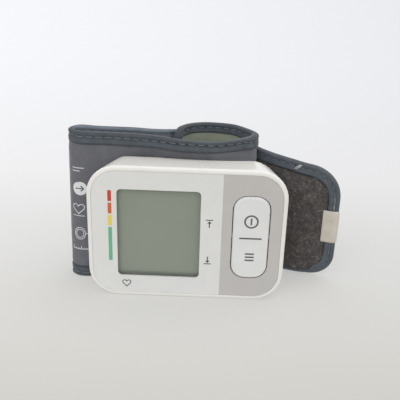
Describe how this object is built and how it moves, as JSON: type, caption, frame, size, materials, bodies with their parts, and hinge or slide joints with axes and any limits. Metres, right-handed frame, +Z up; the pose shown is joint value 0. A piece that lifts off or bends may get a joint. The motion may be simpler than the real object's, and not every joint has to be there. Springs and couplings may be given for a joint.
{
  "type": "wrist blood pressure monitor",
  "caption": "Upright wrist blood pressure monitor: rounded housing with a recessed display and a rocker key, on a bound fabric cuff wrapped into a loop with a free hook flap.",
  "frame": {"origin": "middle of the housing's flat underside, on the surface the monitor stands on, 4 mm behind the face", "axes": "+X to the reader's right along the face, +Y away from the reader, +Z up"},
  "size_m": [0.123, 0.0555, 0.0688],
  "materials": {
    "housing_white": "fine satin moulding",
    "panel_white": "smooth printed face",
    "panel_grey": "satin moulding",
    "key_grey": "soft satin",
    "window_clear": "clear polished",
    "display_grey": "flat, grey-green",
    "holder_white": "moulded",
    "strip_rubber": "banded elastomer",
    "board_green": "solder mask",
    "chip_black": "moulded",
    "switch_black": "moulded",
    "screw_steel": "plated",
    "cell_sleeve": "sleeved metal can",
    "contact_steel": "nickel plated",
    "motor_can": "drawn can",
    "pump_plastic": "moulded",
    "crank_brass": "turned",
    "valve_metal": "machined",
    "manifold_plastic": "moulded",
    "hose_silicone": "translucent silicone",
    "cuff_cloth": "coated woven cloth",
    "cuff_lining": "brushed loop cloth",
    "cuff_edging": "stitched woven tape",
    "stay_plastic": "springy sheet",
    "bladder_rubber": "welded film",
    "core_foam": "thin foam",
    "hook_pile": "hook pile",
    "tab_tape": "woven tape"
  },
  "bodies": {
    "monitor": {"front_housing": "housing_white", "display_panel": "panel_white", "control_panel": "panel_grey", "display_window": "window_clear", "display_glass": "display_grey", "display_holder": "holder_white", "contact_strip": "strip_rubber", "main_board": "board_green", "board_screw_1": "screw_steel", "board_screw_2": "screw_steel", "start_switch": "switch_black", "memory_switch": "switch_black", "controller_chip": "chip_black", "pressure_sensor": "chip_black", "rear_housing": "housing_white", "housing_screw_1": "screw_steel", "housing_screw_2": "screw_steel", "housing_screw_3": "screw_steel", "housing_screw_4": "screw_steel", "battery_1": "cell_sleeve", "battery_2": "cell_sleeve", "cell_bridge": "contact_steel", "cell_contact_positive": "contact_steel", "cell_contact_negative": "contact_steel", "pump_motor": "motor_can", "pump_head": "pump_plastic", "valve_body": "valve_metal", "air_manifold": "manifold_plastic", "pump_hose": "hose_silicone", "valve_hose": "hose_silicone", "cuff_fabric": "cuff_cloth", "cuff_stay": "stay_plastic", "cuff_bladder": "bladder_rubber", "cuff_lining": "cuff_lining", "cuff_binding": "cuff_edging"},
    "rocker": {"rocker_key": "key_grey"},
    "cover": {"battery_cover": "housing_white"},
    "strap": {"strap_fabric": "cuff_cloth", "strap_core": "core_foam", "strap_lining": "cuff_lining", "strap_binding_top": "cuff_edging", "strap_binding_bottom": "cuff_edging"},
    "flap": {"flap_fabric": "cuff_cloth", "flap_core": "core_foam", "flap_lining": "cuff_lining", "hook_patch": "hook_pile", "flap_binding": "cuff_edging", "pull_tab": "tab_tape"},
    "crank": {"pump_crank": "crank_brass"},
    "plunger": {"valve_plunger": "screw_steel"}
  },
  "joints": [
    {"name": "rocker_tilt", "type": "hinge", "parent": "monitor", "child": "rocker", "pos_m": [0.0271, -0.0018, 0.03], "axis": [1, 0, 0], "range_deg": [-2.5, 2.5], "stiffness_Nm_per_rad": 0.5},
    {"name": "cover_slide", "type": "slide", "parent": "monitor", "child": "cover", "axis": [-1, 0, 0], "range_m": [0, 0.02]},
    {"name": "strap_swing", "type": "hinge", "parent": "monitor", "child": "strap", "pos_m": [-0.04292, 0.02735, 0.03], "axis": [0, 0, 1], "range_deg": [0, 110]},
    {"name": "flap_swing", "type": "hinge", "parent": "strap", "child": "flap", "pos_m": [0.02905, 0.04244, 0.03], "axis": [0, 0, 1], "range_deg": [0, 75]},
    {"name": "pump_turn", "type": "hinge", "parent": "monitor", "child": "crank", "pos_m": [0.015, 0.00585, 0.0073], "axis": [1, 0, 0], "continuous": true},
    {"name": "valve_lift", "type": "slide", "parent": "monitor", "child": "plunger", "axis": [1, 0, 0], "range_m": [0, 0.0015], "stiffness_N_per_m": 200}
  ]
}
